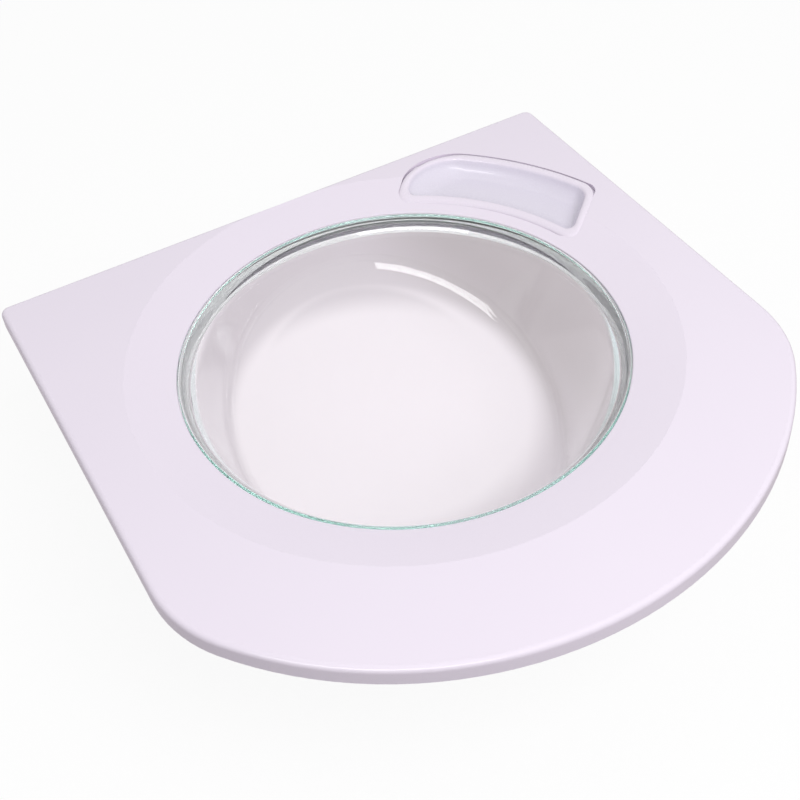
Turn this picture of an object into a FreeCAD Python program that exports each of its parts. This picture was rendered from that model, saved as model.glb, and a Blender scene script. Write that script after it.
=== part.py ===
import FreeCAD, Part
import math
import os

import Sketcher

# Washing machine door, lying face up: +Z out of the face, +Y to the straight top edge, +X to the handle.
# The origin is on the glass axis, in the plane that the hinge plate bolts to.
SIZES = {
    # Cover
    "opening_radius": 162,
    "side_margin": 74.5,
    "top_margin": 36.2,
    "bottom_margin": 109.5,
    "cover_depth": 14,
    "cover_wall": 3,
    "top_corner": 7,
    "side_corner": 95,
    "face_edge": 4,
    "dish_width": 36,
    "dish_drop": 9,
    "lip_wall": 3,
    "lip_edge": 1,
    "rib_wall": 2,
    "rib_depth": 9,
    "rib_count": 6,
    "rib_sweep": 100,
    # Glass bowl and its seal
    "flange_reach": 9,
    "flange_wall": 7,
    "seal_wall": 1.2,
    "seal_grip": 3,
    "bead_gap": 0.6,
    "bead_edge": 1,
    "glass_wall": 6,
    "rim_inset": 7.6,
    "bowl_taper": 0.3,
    "bowl_depth": 110.8,
    "floor_tilt": 27.4,
    "floor_round": 38,
    # Inner frame
    "frame_wall": 3,
    "frame_skirt": 2.5,
    "frame_lift": 6,
    "frame_gap": 2.7,
    "clamp_rib": 2.6,
    "clamp_reach": 8.7,
    "post_room": 11.3,
    "post_radius": 4.5,
    "post_gap": 0.3,
    "post_start": 72,
    "post_sweep": 270,
    "post_count": 7,
    # Screws
    "screw_shank": 1.5,
    "screw_head": 3.6,
    "screw_cap": 2.2,
    "screw_length": 11,
    "screw_play": 0.3,
    "pilot_play": 0.03,
    # Hinge
    "hinge_inset": 16,
    "barrel_radius": 7.6,
    "pin_radius": 4,
    "pin_fit": 0.02,
    "bush_play": 0.05,
    "bush_wall": 1.4,
    "bush_length": 12,
    "bush_flange": 1.4,
    "end_play": 0.4,
    "leaf_half": 26,
    "leaf_wall": 3,
    "leaf_neck": 4,
    "leaf_gap": 8,
    "leaf_wing": 40,
    "leaf_width": 18,
    "leaf_edge": 2,
    "leaf_pitch": 20,
    "arm_width": 12,
    "arm_wall": 10,
    "leg_wall": 8,
    "leg_gap": 5,
    "plate_wall": 4,
    "plate_gap": 9,
    "plate_width": 34,
    "plate_margin": 8,
    "plate_offset": 14,
    "bolt_radius": 2.75,
    "bolt_spread": 20,
    "bolt_pitch": 100,
    "plate_corner": 6,
    "pin_head": 6,
    "pin_cap": 2.5,
    "pin_tail": 5,
    "clip_wall": 0.9,
    "clip_reach": 3,
    "clip_groove": 0.8,
    "clip_mouth": 5,
    # Latch
    "latch_offset": 12,
    "latch_lift": 10,
    "latch_ear": 7,
    "ear_wall": 2,
    "ear_half": 10,
    "latch_wall": 2,
    "latch_half": 27,
    "latch_width": 28,
    "latch_slot": 18,
    "latch_screw": 20,
    "box_wall": 2.5,
    "box_height": 11,
    "axle_radius": 2.5,
    "axle_head": 3.6,
    "axle_cap": 1.3,
    "hook_barrel": 5.6,
    "hook_shank": 9,
    "hook_width": 11,
    "hook_length": 44,
    "hook_nose": 6.5,
    "hook_catch": 11,
    "hook_side": 1,
    "spring_wire": 0.6,
    "spring_radius": 4.2,
    "spring_turns": 3,
    "spring_pitch": 1.5,
    "spring_leg": 8,
    # Handle cup
    "handle_gap": 10,
    "handle_width": 60,
    "handle_fit": 0.4,
    "handle_rim": 8,
    "handle_rim_wall": 3,
    "handle_rise": 1.2,
    "handle_edge": 1,
    "handle_wall": 2.4,
    "handle_depth": 13.5,
    "handle_right": 10.5,
    "handle_right_lean": 8,
    "handle_left": 62.5,
    "handle_left_lean": 4.5,
    "handle_round": 11,
    "handle_sweep": 50,
    "round_share": 0.25,
    "round_limit": 0.22,
    "sweep_limit": 0.72,
    "pick_share": 0.1,
    "slope_inner": 17,
    "slope_outer": 4.5,
    "slope_right": 7,
    "slope_left": 30,
    "lug_radius": 6,
    "lug_inset": 15,
    "lug_wall": 3,
    "lug_reach": 12,
    "lug_drop": 11.5,
}

# Slack in mm for picking edges by their place.
snap = 0.01
rim_snap = 0.05

doc = FreeCAD.newDocument("washing_machine_door")
sheet = doc.addObject("Spreadsheet::Sheet", "Dims")
for row, (alias, number) in enumerate(SIZES.items(), start=1):
    sheet.set("A%d" % row, alias)
    sheet.set("B%d" % row, str(number))
    sheet.setAlias("B%d" % row, alias)
doc.recompute()


class Size:
    """A value, and the expression on the sheet that gives it."""

    def __init__(self, value, text):
        self.value = float(value)
        self.text = text

    def __add__(self, other):
        other = as_size(other)
        return Size(self.value + other.value, "(%s + %s)" % (self.text, other.text))

    def __sub__(self, other):
        other = as_size(other)
        return Size(self.value - other.value, "(%s - %s)" % (self.text, other.text))

    def __mul__(self, other):
        other = as_size(other)
        return Size(self.value * other.value, "(%s * %s)" % (self.text, other.text))

    def __truediv__(self, other):
        other = as_size(other)
        return Size(self.value / other.value, "(%s / %s)" % (self.text, other.text))

    def __neg__(self):
        return Size(-self.value, "(-1 * %s)" % self.text)

    def root(self):
        return Size(math.sqrt(self.value), "sqrt(%s)" % self.text)

    def sine(self):
        return Size(math.sin(math.radians(self.value)), "sin(%s * 1 deg)" % self.text)

    def cosine(self):
        return Size(math.cos(math.radians(self.value)), "cos(%s * 1 deg)" % self.text)


def as_size(item):
    if isinstance(item, Size):
        return item
    return Size(item, "(%r)" % float(item))


class Sheet:
    """Each alias of the sheet as a Size."""

    def __getattr__(self, alias):
        return Size(sheet.get(alias), "Dims.%s" % alias)


dim = Sheet()


def bind(item, path, size):
    item.setExpression(path, as_size(size).text)


def new_body(label, place=None):
    body = doc.addObject("PartDesign::Body", label)
    body.Label = label
    body.AllowCompound = True
    if place:
        body.Placement.Base = FreeCAD.Vector(*[as_size(size).value for size in place])
        for letter, size in zip("xyz", place):
            bind(body, "Placement.Base.%s" % letter, size)
    return body


def origin_part(body, role):
    return [item for item in body.Origin.OriginFeatures if item.Role == role][0]


def new_sketch(body, role, lift=0):
    sketch = body.newObject("Sketcher::SketchObject", body.Label + "_sketch")
    sketch.AttachmentSupport = [(origin_part(body, role), "")]
    sketch.MapMode = "FlatFace"
    sketch.AttachmentOffset.Base.z = as_size(lift).value
    bind(sketch, "AttachmentOffset.Base.z", lift)
    return sketch


def fix_point(sketch, piece, point, x, y):
    for kind, axis, size in (("DistanceX", -2, as_size(x)), ("DistanceY", -1, as_size(y))):
        if size.value == 0:
            sketch.addConstraint(Sketcher.Constraint("PointOnObject", piece, point, axis))
            continue
        index = sketch.addConstraint(Sketcher.Constraint(kind, piece, point, size.value))
        bind(sketch, "Constraints[%d]" % index, size)


def add_polygon(sketch, corners):
    start = sketch.GeometryCount
    count = len(corners)
    spots = [FreeCAD.Vector(as_size(x).value, as_size(y).value, 0) for x, y in corners]
    for index in range(count):
        sketch.addGeometry(Part.LineSegment(spots[index], spots[(index + 1) % count]), False)
    for index in range(count):
        following = start + (index + 1) % count
        sketch.addConstraint(Sketcher.Constraint("Coincident", start + index, 2, following, 1))
    for index, (x, y) in enumerate(corners):
        fix_point(sketch, start + index, 1, x, y)
    return sketch


def add_rectangle(sketch, left, low, right, high):
    return add_polygon(sketch, [(left, low), (right, low), (right, high), (left, high)])


def add_circle(sketch, x, y, radius):
    radius = as_size(radius)
    middle = FreeCAD.Vector(as_size(x).value, as_size(y).value, 0)
    piece = sketch.addGeometry(Part.Circle(middle, FreeCAD.Vector(0, 0, 1), radius.value), False)
    index = sketch.addConstraint(Sketcher.Constraint("Radius", piece, radius.value))
    bind(sketch, "Constraints[%d]" % index, radius)
    fix_point(sketch, piece, 3, x, y)
    return sketch


def feature(body, kind, sketch):
    item = body.newObject("PartDesign::" + kind, body.Label + "_" + kind.lower())
    item.Profile = sketch
    return item


def pad(body, sketch, length, reverse=False):
    item = feature(body, "Pad", sketch)
    item.Length = as_size(length).value
    bind(item, "Length", length)
    item.Reversed = reverse
    doc.recompute()
    return item


def volume(body):
    return body.Shape.Volume


def pocket(body, sketch, length, reverse=False):
    before = volume(body)
    item = feature(body, "Pocket", sketch)
    item.Length = as_size(length).value
    bind(item, "Length", length)
    item.Reversed = reverse
    doc.recompute()
    if volume(body) >= before:
        raise RuntimeError("a pocket in %s cuts nothing" % body.Label)
    return item


def turn(body, corners, role="XZ_Plane", kind="Revolution"):
    sketch = add_polygon(new_sketch(body, role), corners)
    item = feature(body, kind, sketch)
    item.ReferenceAxis = (sketch, ["V_Axis"])
    item.Angle = 360
    doc.recompute()
    return item


def fillet(body, radius, test):
    base = body.Tip
    names = ["Edge%d" % place for place, edge in enumerate(base.Shape.Edges, start=1) if test(edge)]
    item = body.newObject("PartDesign::Fillet", body.Label + "_fillet")
    item.Base = (base, names)
    item.Radius = as_size(radius).value
    bind(item, "Radius", radius)
    doc.recompute()
    return item


def around(body, originals, sweep, count):
    item = body.newObject("PartDesign::PolarPattern", body.Label + "_pattern")
    item.Originals = originals
    item.Axis = (origin_part(body, "Z_Axis"), [""])
    item.Angle = sweep.value
    bind(item, "Angle", sweep)
    item.Occurrences = int(count.value)
    bind(item, "Occurrences", count)
    body.Tip = item
    doc.recompute()
    return item


def polar(radius, angle):
    return radius * angle.cosine(), radius * angle.sine()


def is_upright(edge):
    spread = edge.BoundBox
    return spread.ZLength > 1 and spread.XLength < 0.001 and spread.YLength < 0.001


# Levels above the plane that the hinge plate bolts to, from the plate up to the cover's face.
frame_back = dim.plate_wall + dim.plate_gap
frame_floor = frame_back + dim.frame_wall
clamp_face = frame_floor + dim.clamp_rib
flange_back = clamp_face + dim.seal_wall
flange_front = flange_back + dim.flange_wall
lip_back = flange_front + dim.seal_wall
lip_front = lip_back + dim.lip_wall
face_height = lip_front + dim.dish_drop
face_back = face_height - dim.cover_wall
cover_back = face_height - dim.cover_depth
axis_level = cover_back

# Radii about the glass axis.
dish_radius = dim.opening_radius + dim.dish_width
flange_radius = dim.opening_radius + dim.flange_reach
seal_radius = flange_radius + dim.seal_wall
post_circle = seal_radius + dim.post_room / 2
skirt_inner = seal_radius + dim.post_room
frame_radius = skirt_inner + dim.frame_skirt
rim_radius = dim.opening_radius - dim.rim_inset
wall_across = dim.glass_wall * (dim.bowl_taper * dim.bowl_taper + 1).root()
frame_bore = rim_radius - dim.bowl_taper * (lip_front - flange_back) + wall_across + dim.frame_gap
dish_slope = dim.dish_drop / dim.dish_width

# Half width, top and bottom of the cover, and the hinge axis behind its left edge.
half_width = dim.opening_radius + dim.side_margin
top_edge = dim.opening_radius + dim.top_margin
bottom_radius = dim.opening_radius + dim.bottom_margin
axis_x = dim.hinge_inset - half_width
pilot_radius = dim.screw_shank + dim.pilot_play
free_radius = dim.screw_shank + dim.screw_play


# Front cover: outline with a straight top and sides and an arc round the glass, rolled edge, hollow back.
def add_outline(sketch, half, top, radius):
    low = -(radius * radius - half * half).root()
    left_low = FreeCAD.Vector(-half.value, low.value, 0)
    left_high = FreeCAD.Vector(-half.value, top.value, 0)
    right_high = FreeCAD.Vector(half.value, top.value, 0)
    right_low = FreeCAD.Vector(half.value, low.value, 0)
    circle = Part.Circle(FreeCAD.Vector(0, 0, 0), FreeCAD.Vector(0, 0, 1), radius.value)
    start = math.atan2(left_low.y, left_low.x)
    end = math.atan2(right_low.y, right_low.x)
    sketch.addGeometry(Part.LineSegment(left_low, left_high), False)
    sketch.addGeometry(Part.LineSegment(left_high, right_high), False)
    sketch.addGeometry(Part.LineSegment(right_high, right_low), False)
    sketch.addGeometry(Part.ArcOfCircle(circle, start, end), False)
    for first, first_end, second, second_end in ((0, 2, 1, 1), (1, 2, 2, 1), (2, 2, 3, 2), (3, 1, 0, 1)):
        sketch.addConstraint(Sketcher.Constraint("Coincident", first, first_end, second, second_end))
    sketch.addConstraint(Sketcher.Constraint("Coincident", 3, 3, -1, 1))
    sketch.addConstraint(Sketcher.Constraint("Vertical", 0))
    sketch.addConstraint(Sketcher.Constraint("Horizontal", 1))
    sketch.addConstraint(Sketcher.Constraint("Vertical", 2))
    index = sketch.addConstraint(Sketcher.Constraint("Radius", 3, radius.value))
    bind(sketch, "Constraints[%d]" % index, radius)
    fix_point(sketch, 1, 1, -half, top)
    index = sketch.addConstraint(Sketcher.Constraint("DistanceX", 1, 2, half.value))
    bind(sketch, "Constraints[%d]" % index, half)
    return sketch


# Outline of the handle cup and its recess: two arcs round the glass joined by leaning ends,
# with rounded corners.
# The slopes bring in its inner, outer, right and left sides.
def add_loop(sketch, inset, slopes=(0, 0, 0, 0)):
    from_inner, from_outer, from_right, from_left = slopes
    start = (dim.opening_radius + dim.handle_gap).value
    width = dim.handle_width.value
    inner = start + inset + from_inner
    outer = start + width - inset - from_outer
    right_turn = math.degrees((inset + from_right) * 2 / (inner + outer))
    left_turn = math.degrees((inset + from_left) * 2 / (inner + outer))

    def right_end(radius):
        return dim.handle_right.value + dim.handle_right_lean.value * (radius - start) / width + right_turn

    def left_end(radius):
        return dim.handle_left.value - dim.handle_left_lean.value * (radius - start) / width - left_turn

    def spot(radius, angle):
        turned = math.radians(angle)
        return FreeCAD.Vector(radius * math.cos(turned), radius * math.sin(turned), 0)

    arcs = []
    for radius in (inner, outer):
        circle = Part.Circle(FreeCAD.Vector(0, 0, 0), FreeCAD.Vector(0, 0, 1), radius)
        ends = math.radians(right_end(radius)), math.radians(left_end(radius))
        arcs.append(sketch.addGeometry(Part.ArcOfCircle(circle, *ends), False))
        sketch.addConstraint(Sketcher.Constraint("Coincident", arcs[-1], 3, -1, 1))
    ends = []
    for side in (right_end, left_end):
        line = Part.LineSegment(spot(inner, side(inner)), spot(outer, side(outer)))
        ends.append(sketch.addGeometry(line, False))
    tighter = max(inset, 0) * dim.round_share.value
    small = min(dim.handle_round.value - tighter, (outer - inner) * dim.round_limit.value)
    large = min(dim.handle_sweep.value - tighter, (outer - inner) * dim.sweep_limit.value)
    nearby = dim.pick_share.value
    for arc, line, radius, side, rounding in (
            (arcs[0], ends[0], inner, right_end, small), (arcs[1], ends[0], outer, right_end, small),
            (arcs[1], ends[1], outer, left_end, large), (arcs[0], ends[1], inner, left_end, small)):
        middle = (right_end(radius) + left_end(radius)) / 2
        inward = (inner + outer) / 2
        on_arc = spot(radius, side(radius) + (middle - side(radius)) * nearby)
        near = radius + (inward - radius) * nearby
        sketch.fillet(arc, line, on_arc, spot(near, side(near)), rounding, True, False)
    return sketch


recess_slopes = [size.value for size in (dim.slope_inner, dim.slope_outer, dim.slope_right, dim.slope_left)]


handle_inner = dim.opening_radius + dim.handle_gap
handle_outer = handle_inner + dim.handle_width
lug_level = face_back - dim.lug_drop
lug_top = lug_level + dim.lug_wall
lug_circle = handle_outer - dim.handle_rim - dim.lug_inset
lug_turn = (dim.lug_reach / lug_circle) * (180 / math.pi)
lean_share = (lug_circle - handle_inner) / dim.handle_width
right_angle = dim.handle_right + dim.handle_right_lean * lean_share - lug_turn
left_angle = dim.handle_left - dim.handle_left_lean * lean_share + lug_turn
right_lug = polar(lug_circle, right_angle)
left_lug = polar(lug_circle, left_angle)

cover = new_body("front_panel")
outline = add_outline(new_sketch(cover, "XY_Plane", cover_back), half_width, top_edge, bottom_radius)
pad(cover, outline, dim.cover_depth)
hollow = new_sketch(cover, "XY_Plane", cover_back)
add_outline(hollow, half_width - dim.cover_wall, top_edge - dim.cover_wall, bottom_radius - dim.cover_wall)
pocket(cover, hollow, dim.cover_depth - dim.cover_wall, reverse=True)


def is_corner(edge, inset, upper):
    middle = edge.CenterOfMass
    on_side = abs(abs(middle.x) - half_width.value + inset) < snap
    return is_upright(edge) and on_side and (middle.y > 0) == upper


fillet(cover, dim.side_corner - dim.cover_wall, lambda edge: is_corner(edge, dim.cover_wall.value, False))
fillet(cover, dim.side_corner, lambda edge: is_corner(edge, 0, False))
fillet(cover, dim.top_corner - dim.cover_wall, lambda edge: is_corner(edge, dim.cover_wall.value, True))
fillet(cover, dim.top_corner, lambda edge: is_corner(edge, 0, True))
fillet(cover, dim.face_edge, lambda edge: edge.BoundBox.ZMin > face_height.value - snap)
opening = add_circle(new_sketch(cover, "XY_Plane", face_height), 0, 0, dim.opening_radius)
pocket(cover, opening, dim.cover_depth)

# Dished ring: a flat seat for the seal behind the lip, then a wall that follows the dish out to the face.
seat_end = seal_radius + dim.post_gap
ring_out = dish_radius - dim.face_edge
turn(cover, [(dim.opening_radius, lip_back), (seat_end, lip_back), (ring_out, face_back),
             (ring_out, face_height), (dim.opening_radius, face_height)])
inside = dim.opening_radius - dim.lip_wall
turn(cover, [(inside, lip_front - dish_slope * dim.lip_wall), (dish_radius, face_height),
             (dish_radius, face_height + dim.lip_wall), (inside, face_height + dim.lip_wall)], kind="Groove")
fillet(cover, dim.lip_edge, lambda edge: abs(edge.BoundBox.ZMin - lip_front.value) < snap
       and edge.BoundBox.ZLength < snap and abs(edge.BoundBox.XMax - dim.opening_radius.value) < snap)

# Ribs in the deep lower part of the cover.
rib = new_sketch(cover, "XY_Plane", face_back - dim.rib_depth)
add_rectangle(rib, ring_out, -dim.rib_wall / 2, bottom_radius - dim.cover_wall / 2, dim.rib_wall / 2)
rib.AttachmentOffset.Rotation = FreeCAD.Rotation(FreeCAD.Vector(0, 0, 1), 270 - dim.rib_sweep.value / 2)
bind(rib, "AttachmentOffset.Rotation.Angle", as_size(270) - dim.rib_sweep / 2)
rib_pad = pad(cover, rib, dim.rib_depth + dim.cover_wall / 2)
around(cover, [rib_pad], dim.rib_sweep, dim.rib_count)

# Screw posts for the inner frame and for the handle cup.
post_x, post_y = polar(post_circle, dim.post_start)
post_low = frame_floor + dim.post_gap
post = add_circle(new_sketch(cover, "XY_Plane", post_low), post_x, post_y, dim.post_radius)
add_circle(post, post_x, post_y, pilot_radius)
post_top = lip_front
post_pad = pad(cover, post, post_top - post_low)
around(cover, [post_pad], dim.post_sweep, dim.post_count)
lug_post = new_sketch(cover, "XY_Plane", lug_top)
for x, y in (right_lug, left_lug):
    add_circle(lug_post, x, y, dim.post_radius)
    add_circle(lug_post, x, y, pilot_radius)
pad(cover, lug_post, face_back - lug_top + dim.cover_wall / 2)
window = add_loop(new_sketch(cover, "XY_Plane", face_height), -dim.handle_fit.value)
pocket(cover, window, dim.cover_depth)

# Handle cup: rim flush with the dish and the face, lofted hollow, two lugs on the cover's posts.
cup = new_body("handle_cup")
cup_floor = face_height - dim.handle_depth
cup_top = face_height + dim.handle_rise
rim_low = lip_front - dim.handle_rim_wall
pad(cup, add_loop(new_sketch(cup, "XY_Plane", rim_low), 0), cup_top - rim_low)
far = handle_outer + dim.handle_rim
turn(cup, [(inside, lip_front - dish_slope * dim.lip_wall - dim.handle_rim_wall),
           (dish_radius, face_height - dim.handle_rim_wall), (far, face_height - dim.handle_rim_wall),
           (far, rim_low - dim.lip_wall), (inside, rim_low - dim.lip_wall)], kind="Groove")
shell = cup.newObject("PartDesign::AdditiveLoft", "handle_cup_shell")
shell_inset = (dim.handle_rim - dim.handle_wall).value
shell_top = add_loop(new_sketch(cup, "XY_Plane", cup_top), shell_inset)
shell_low = add_loop(new_sketch(cup, "XY_Plane", cup_floor - dim.handle_wall), shell_inset, recess_slopes)
shell.Profile = shell_top
shell.Sections = [shell_low]
doc.recompute()
for (x, y), angle, reach in ((right_lug, right_angle, dim.slope_right),
                             (left_lug, left_angle, -dim.slope_left)):
    side = 1 if reach.value > 0 else -1
    inward = angle + (reach + (dim.lug_reach + dim.handle_rim) * side) / lug_circle * (180 / math.pi)
    strip = add_polygon(new_sketch(cup, "XY_Plane", lug_level), [
        polar(lug_circle - dim.lug_radius, angle), polar(lug_circle + dim.lug_radius, angle),
        polar(lug_circle + dim.lug_radius, inward), polar(lug_circle - dim.lug_radius, inward)])
    pad(cup, strip, dim.lug_wall)
    pad(cup, add_circle(new_sketch(cup, "XY_Plane", lug_level), x, y, dim.lug_radius), dim.lug_wall)
turn(cup, [(inside, lip_front - dish_slope * dim.lip_wall + dim.handle_rise), (dish_radius, cup_top),
           (dish_radius, cup_top + dim.lip_wall), (inside, cup_top + dim.lip_wall)], kind="Groove")
recess = cup.newObject("PartDesign::SubtractiveLoft", "handle_cup_recess")
recess_top = add_loop(new_sketch(cup, "XY_Plane", cup_top), dim.handle_rim.value)
recess_low = add_loop(new_sketch(cup, "XY_Plane", cup_floor), dim.handle_rim.value, recess_slopes)
recess.Profile = recess_top
recess.Sections = [recess_low]
doc.recompute()


def on_rim(edge):
    ends = [vertex.Point for vertex in edge.Vertexes]
    levels = [point.z - min(face_height.value, lip_front.value + dish_slope.value
                            * (math.hypot(point.x, point.y) - dim.opening_radius.value)) for point in ends]
    return all(abs(level - dim.handle_rise.value) < rim_snap for level in levels)


fillet(cup, dim.handle_edge, on_rim)
lug_holes = new_sketch(cup, "XY_Plane", lug_top)
for x, y in (right_lug, left_lug):
    add_circle(lug_holes, x, y, free_radius)
pocket(cup, lug_holes, dim.lug_wall)


# Glass bowl: tapered wall and a floor that slants down to the bottom edge, made as an outer
# and an inner form.
def bowl_form(name, grow, floor_level, top_level, rounding):
    deep = dim.bowl_depth * 2
    low_level = lip_front - deep
    wide = dim.opening_radius * 4
    cone = doc.addObject("Part::Cone", name + "_cone")
    bind(cone, "Radius1", rim_radius - dim.bowl_taper * deep + grow)
    bind(cone, "Radius2", rim_radius - dim.bowl_taper * (lip_front - top_level) + grow)
    bind(cone, "Height", top_level - low_level)
    bind(cone, "Placement.Base.z", low_level)
    block = doc.addObject("Part::Box", name + "_below")
    bind(block, "Length", wide)
    bind(block, "Width", wide)
    bind(block, "Height", wide)
    block.Placement.Rotation = FreeCAD.Rotation(FreeCAD.Vector(1, 0, 0), dim.floor_tilt.value)
    bind(block, "Placement.Rotation.Angle", dim.floor_tilt)
    rise = dim.floor_tilt.sine()
    along = dim.floor_tilt.cosine()
    bind(block, "Placement.Base.x", -wide / 2)
    bind(block, "Placement.Base.y", wide * rise - wide / 2 * along)
    bind(block, "Placement.Base.z", floor_level - wide * along - wide / 2 * rise)
    cut = doc.addObject("Part::Cut", name + "_cut")
    cut.Base = cone
    cut.Tool = block
    doc.recompute()
    floor = min(cut.Shape.Faces, key=lambda face: face.CenterOfMass.z)
    rim = floor.Edges[0]
    place = [index for index, edge in enumerate(cut.Shape.Edges, start=1) if edge.isSame(rim)][0]
    round_off = doc.addObject("Part::Fillet", name)
    round_off.Base = cut
    round_off.Edges = [(place, rounding.value, rounding.value)]
    doc.recompute()
    return round_off


floor_level = lip_front - dim.bowl_depth
floor_drop = dim.glass_wall / dim.floor_tilt.cosine()
outer_floor = floor_level - floor_drop
outer_round = dim.floor_round + dim.glass_wall
bowl_outer = bowl_form("bowl_outer", wall_across, outer_floor, flange_front, outer_round)
bowl_inner = bowl_form("bowl_inner", as_size(0), floor_level, lip_front + dim.lip_wall, dim.floor_round)
glass_rim = new_body("glass_rim")
rim_foot = frame_bore - dim.frame_gap - wall_across
bead_radius = dim.opening_radius - dim.bead_gap
turn(glass_rim, [(rim_foot, flange_back), (flange_radius, flange_back), (flange_radius, flange_front),
                 (bead_radius, flange_front), (bead_radius, lip_front), (rim_foot, lip_front)])
glass_blank = doc.addObject("Part::Fuse", "glass_blank")
glass_blank.Base = bowl_outer
glass_blank.Tool = glass_rim
glass_hollow = doc.addObject("Part::Cut", "glass_hollow")
glass_hollow.Base = glass_blank
glass_hollow.Tool = bowl_inner
doc.recompute()
glass = doc.addObject("Part::Fillet", "door_glass")
glass.Label = "door_glass"
glass.Base = glass_hollow
glass.Edges = [(index, dim.bead_edge.value, dim.bead_edge.value)
               for index, edge in enumerate(glass_hollow.Shape.Edges, start=1)
               if abs(edge.BoundBox.ZMin - lip_front.value) < snap and edge.BoundBox.ZLength < snap]
doc.recompute()

# Rubber channel round the flange.
seal = new_body("glass_seal")
seal_inner = flange_radius - dim.seal_grip
turn(seal, [(seal_inner, lip_back), (seal_radius, lip_back), (seal_radius, clamp_face),
            (seal_inner, clamp_face), (seal_inner, flange_back), (flange_radius, flange_back),
            (flange_radius, flange_front), (seal_inner, flange_front)])

# Inner frame: clamp rib, floor and skirt in one ring, with a box for the latch and bosses for the leaf.
latch_x = frame_radius + dim.latch_offset
latch_level = frame_back + dim.latch_lift
box_right = latch_x + dim.latch_width / 2
box_left = frame_radius - dim.post_room
frame = new_body("inner_frame")
clamp_inner = seal_radius - dim.clamp_reach
skirt_top = frame_floor + dim.frame_lift
turn(frame, [(frame_bore, frame_back), (frame_radius, frame_back), (frame_radius, skirt_top),
             (skirt_inner, skirt_top), (skirt_inner, frame_floor), (seal_radius, frame_floor),
             (seal_radius, clamp_face),
             (clamp_inner, clamp_face), (clamp_inner, frame_floor), (frame_bore, frame_floor)])
box_half = dim.latch_half + dim.box_wall
floor_sketch = new_sketch(frame, "XY_Plane", frame_back)
add_rectangle(floor_sketch, box_left, -box_half, box_right, box_half)
pad(frame, floor_sketch, dim.frame_wall)
walls = add_polygon(new_sketch(frame, "XY_Plane", frame_back), [
    (frame_radius - dim.frame_skirt, -box_half), (box_right, -box_half), (box_right, box_half),
    (frame_radius - dim.frame_skirt, box_half), (frame_radius - dim.frame_skirt, box_half - dim.box_wall),
    (box_right - dim.box_wall, box_half - dim.box_wall), (box_right - dim.box_wall, dim.box_wall - box_half),
    (frame_radius - dim.frame_skirt, dim.box_wall - box_half)])
pad(frame, walls, dim.box_height)
leaf_x = -(seal_radius + dim.post_room / 2)
leaf_spots = [(leaf_x, dim.leaf_pitch * share) for share in (-1.5, -0.5, 0.5, 1.5)]
boss_level = frame_back
bosses = new_sketch(frame, "XY_Plane", boss_level)
latch_spots = [(latch_x, dim.latch_screw), (latch_x, -dim.latch_screw)]
for x, y in leaf_spots + latch_spots:
    add_circle(bosses, x, y, dim.post_radius)
pad(frame, bosses, dim.box_height)
pilots = new_sketch(frame, "XY_Plane", boss_level)
for x, y in leaf_spots + latch_spots:
    add_circle(pilots, x, y, pilot_radius)
pocket(frame, pilots, dim.box_height, reverse=True)
slot_half = dim.ear_half + dim.ear_wall + dim.post_gap * 2
slot = new_sketch(frame, "XY_Plane", frame_back)
add_rectangle(slot, latch_x - dim.latch_slot / 2, -slot_half, latch_x + dim.latch_slot / 2, slot_half)
pocket(frame, slot, dim.frame_wall, reverse=True)
hole = add_circle(new_sketch(frame, "XY_Plane", frame_back), post_x, post_y, free_radius)
hole_cut = pocket(frame, hole, dim.frame_wall, reverse=True)
around(frame, [hole_cut], dim.post_sweep, dim.post_count)


# Screws: domed head under the seat, shank up into its post.
def screw_at(body, x, y, seat):
    head = add_circle(new_sketch(body, "XY_Plane", seat - dim.screw_cap), x, y, dim.screw_head)
    head_pad = pad(body, head, dim.screw_cap)
    shank = add_circle(new_sketch(body, "XY_Plane", seat), x, y, dim.screw_shank)
    shank_pad = pad(body, shank, dim.screw_length)
    return [head_pad, shank_pad]


def dome_heads(body, seat):
    level = (seat - dim.screw_cap).value
    fillet(body, dim.screw_cap / 2, lambda edge: abs(edge.BoundBox.ZMax - level) < snap)


frame_screws = new_body("frame_screws")
first_screw = screw_at(frame_screws, post_x, post_y, frame_back)
dome_heads(frame_screws, frame_back)
around(frame_screws, first_screw + [frame_screws.Tip], dim.post_sweep, dim.post_count)
leaf_back = frame_back - dim.leaf_wall
latch_back = frame_back - dim.latch_wall
for label, spots, seat in (("leaf_screws", leaf_spots, leaf_back), ("latch_screws", latch_spots, latch_back),
                           ("handle_screws", (right_lug, left_lug), lug_level)):
    group = new_body(label)
    for x, y in spots:
        screw_at(group, x, y, seat)
    dome_heads(group, seat)

# Hinge leaf: barrel on the axis, stepped neck between the bracket's arms, plate on the frame.
leaf = new_body("hinge_leaf")
neck_right = -(frame_radius + dim.leaf_gap)
neck_left = neck_right - dim.leaf_neck
plate_right = leaf_x + dim.leaf_width / 2
plate_left = leaf_x - dim.leaf_width / 2
profile = add_polygon(new_sketch(leaf, "XZ_Plane", -dim.leaf_half), [
    (axis_x, axis_level - dim.leaf_neck / 2), (neck_left, axis_level - dim.leaf_neck / 2),
    (neck_left, leaf_back),
    (plate_right, leaf_back), (plate_right, frame_back), (neck_right, frame_back),
    (neck_right, axis_level + dim.leaf_neck / 2), (axis_x, axis_level + dim.leaf_neck / 2)])
pad(leaf, profile, dim.leaf_half * 2)
pad(leaf, add_circle(new_sketch(leaf, "XZ_Plane", -dim.leaf_half), axis_x, axis_level, dim.barrel_radius),
    dim.leaf_half * 2)
wing = new_sketch(leaf, "XY_Plane", leaf_back)
add_rectangle(wing, plate_left, -dim.leaf_wing, plate_right, dim.leaf_wing)
pad(leaf, wing, dim.leaf_wall)
bush_outer = dim.pin_radius + dim.bush_play + dim.bush_wall
bore = add_circle(new_sketch(leaf, "XZ_Plane", -dim.leaf_half), axis_x, axis_level, bush_outer)
pocket(leaf, bore, dim.leaf_half * 2, reverse=True)
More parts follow.
